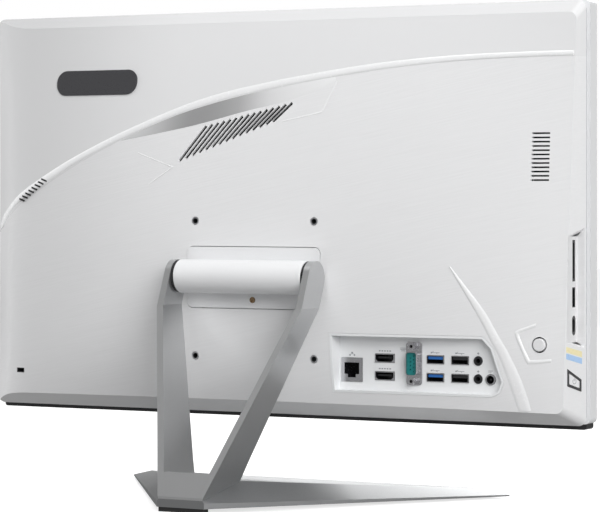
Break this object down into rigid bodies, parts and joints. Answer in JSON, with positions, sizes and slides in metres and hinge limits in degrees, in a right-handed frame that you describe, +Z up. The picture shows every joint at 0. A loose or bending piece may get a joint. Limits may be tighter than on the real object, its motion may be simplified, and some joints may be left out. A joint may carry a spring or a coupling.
{
  "type": "all in one pc",
  "caption": "Flat all-in-one desktop computer with a rear port tray and side ports, tilting on a folded V-shaped stand with a wedge base.",
  "frame": {"origin": "floor level below the middle of the whole object's box", "axes": "+Z up, the screen faces -Y, the side with the card and USB sockets is -X"},
  "size_m": [0.5, 0.2, 0.3609],
  "materials": {
    "cover_white": "satin white moulded shell with fine slanted brush lines",
    "frame_white": "glossy white front frame",
    "tray_white": "matt white port tray",
    "hinge_white": "white satin paint",
    "groove_grey": "grey middle frame",
    "black_plastic": "black moulded plastic",
    "badge_grey": "dark anodised plain badge",
    "screen": "dark anti-glare display",
    "backlight": "pale light guide and moulded tray of the display",
    "steel": "zinc plated sheet steel",
    "port_metal": "nickel plated connector shell",
    "chrome_trim": "polished chrome frame",
    "usb_blue": "blue connector tongue",
    "serial_teal": "teal connector insert",
    "board_green": "green circuit board",
    "chip_grey": "processor lid and switch body",
    "cooler_metal": "copper coloured heat pipe, plate and fins",
    "drive_metal": "drive case",
    "screw_bronze": "bronze coloured screw",
    "stand_silver": "satin silver anodised stand",
    "foot_rubber": "black rubber"
  },
  "bodies": {
    "stand": {"stand_arm_left": "stand_silver", "stand_arm_right": "stand_silver", "stand_web": "stand_silver", "base_plate": "stand_silver", "base_screws": "steel", "front_feet": "foot_rubber", "rear_foot": "foot_rubber", "hinge_shaft": "steel", "hinge_washers": "black_plastic"},
    "head": {"audio_jacks": "black_plastic", "backlight_unit": "backlight", "badge_plate": "badge_grey", "blower_housing": "black_plastic", "bottom_trim": "black_plastic", "chassis_plate": "steel", "control_board": "board_green", "cooler_plate": "cooler_metal", "cooling_fins": "cooler_metal", "dc_jack": "port_metal", "drive_tray": "steel", "front_bezel": "frame_white", "hdmi_ports": "port_metal", "heat_pipe": "cooler_metal", "hinge_barrel": "hinge_white", "hinge_bracket": "steel", "hinge_cover_plate": "hinge_white", "hinge_plate_screw": "screw_bronze", "lcd_panel": "screen", "lock_slot": "black_plastic", "memory_modules": "board_green", "menu_key_guide": "black_plastic", "middle_frame": "groove_grey", "motherboard": "board_green", "port_plate": "tray_white", "port_tray": "tray_white", "power_button_frame": "chrome_trim", "power_switch": "chip_grey", "processor": "chip_grey", "rear_cover": "cover_white", "rj45_jack": "port_metal", "serial_jack_posts": "port_metal", "serial_port_insert": "serial_teal", "serial_port_shell": "port_metal", "side_inserts": "black_plastic", "side_io_board": "board_green", "side_port_panel": "cover_white", "side_usb_port": "port_metal", "side_usbc_port": "port_metal", "speakers": "black_plastic", "storage_drive": "drive_metal", "usb2_shells": "port_metal", "usb2_tongues": "black_plastic", "usb3_shells": "port_metal", "usb3_tongues": "usb_blue", "vent_mesh": "black_plastic", "vesa_bushes": "steel", "wireless_card": "board_green"},
    "power_button_cap": {"power_button": "cover_white"},
    "menu_key_cap": {"menu_key": "cover_white"},
    "blower_fan": {"blower_rotor": "black_plastic"}
  },
  "joints": [
    {"name": "head_tilt", "type": "hinge", "parent": "stand", "child": "head", "pos_m": [0, 0.01, 0.1632], "axis": [1, 0, 0], "range_deg": [-20, 5]},
    {"name": "power_press", "type": "slide", "parent": "head", "child": "power_button_cap", "axis": [0.9468, -0.3219, 0], "range_m": [0, 0.0006], "stiffness_N_per_m": 1500, "springref_m": -0.0003},
    {"name": "menu_key_press", "type": "slide", "parent": "head", "child": "menu_key_cap", "axis": [0, -1, 0], "range_m": [0, 0.0005], "stiffness_N_per_m": 1500, "springref_m": -0.0003},
    {"name": "blower_spin", "type": "hinge", "parent": "head", "child": "blower_fan", "pos_m": [0.02, -0.0355, 0.252], "axis": [0, 1, 0], "continuous": true}
  ]
}
